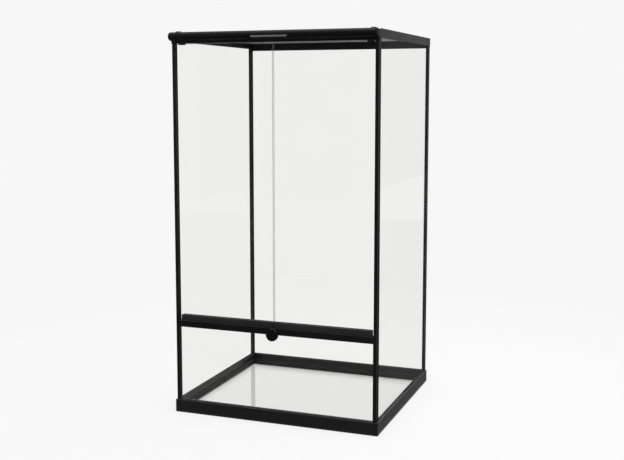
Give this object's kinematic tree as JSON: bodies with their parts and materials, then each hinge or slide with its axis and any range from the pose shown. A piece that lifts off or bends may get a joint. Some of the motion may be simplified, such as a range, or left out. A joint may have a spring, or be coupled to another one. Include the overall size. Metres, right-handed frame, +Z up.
{
  "type": "front-opening glass pet enclosure",
  "caption": "Tall glass enclosure for a small pet with a black frame, two front doors, a turning latch and a lift-off mesh lid.",
  "frame": {"origin": "on the floor, under the centre of the overall footprint", "axes": "-Y to the front with the doors, +X to the right as seen from the front, +Z up"},
  "size_m": [0.5, 0.467, 0.8925],
  "materials": {
    "base_plastic": "satin",
    "black_plastic": "satin",
    "black_metal": "satin",
    "strip_plastic": "satin",
    "clear_glass": "clear",
    "seal": "matte",
    "steel": "brushed",
    "plate_metal": "satin",
    "mesh_metal": "satin"
  },
  "bodies": {
    "root": {"base_front_trim": "base_plastic", "base_back_trim": "base_plastic", "base_left_trim": "base_plastic", "base_right_trim": "base_plastic", "floor_glass": "clear_glass", "floor_seal": "seal", "back_glass": "clear_glass", "left_glass": "clear_glass", "right_glass": "clear_glass", "front_lower_glass": "clear_glass", "front_left_post": "black_metal", "front_right_post": "black_metal", "back_left_post": "black_metal", "back_right_post": "black_metal", "front_rail": "black_metal", "left_pivot_block": "black_plastic", "right_pivot_block": "black_plastic", "top_front_trim": "black_metal", "top_back_trim": "black_metal", "top_left_trim": "black_metal", "top_right_trim": "black_metal", "front_bar": "black_metal", "bar_left_collar": "black_plastic", "bar_right_cap": "black_plastic", "bar_plate": "plate_metal", "left_corner_block": "black_plastic", "right_corner_block": "black_plastic"},
    "left_door": {"left_door_glass": "clear_glass", "left_door_strip": "strip_plastic", "left_keeper": "strip_plastic", "left_top_clamp": "black_plastic", "left_top_pin": "steel", "left_bottom_pin": "steel"},
    "right_door": {"right_door_glass": "clear_glass", "right_door_strip": "strip_plastic", "right_keeper": "strip_plastic", "right_top_clamp": "black_plastic", "right_top_pin": "steel", "right_bottom_pin": "steel"},
    "latch": {"latch_knob": "black_plastic", "latch_shaft": "steel", "latch_cam": "steel", "latch_nut": "steel"},
    "lid": {"lid_front_rail": "black_metal", "lid_back_rail": "black_metal", "lid_left_rail": "black_metal", "lid_right_rail": "black_metal", "lid_mesh": "mesh_metal"}
  },
  "joints": [
    {"name": "left_door_hinge", "type": "hinge", "parent": "root", "child": "left_door", "pos_m": [-0.227, -0.204, 0.54], "axis": [0, 0, -1], "range_deg": [0, 95]},
    {"name": "right_door_hinge", "type": "hinge", "parent": "root", "child": "right_door", "pos_m": [0.227, -0.204, 0.54], "axis": [0, 0, 1], "range_deg": [0, 95]},
    {"name": "latch_turn", "type": "hinge", "parent": "root", "child": "latch", "pos_m": [0, -0.2155, 0.208], "axis": [0, -1, 0], "range_deg": [0, 70]},
    {"name": "lid_lift", "type": "slide", "parent": "root", "child": "lid", "axis": [0, 0, 1], "range_m": [0, 0.06]}
  ]
}
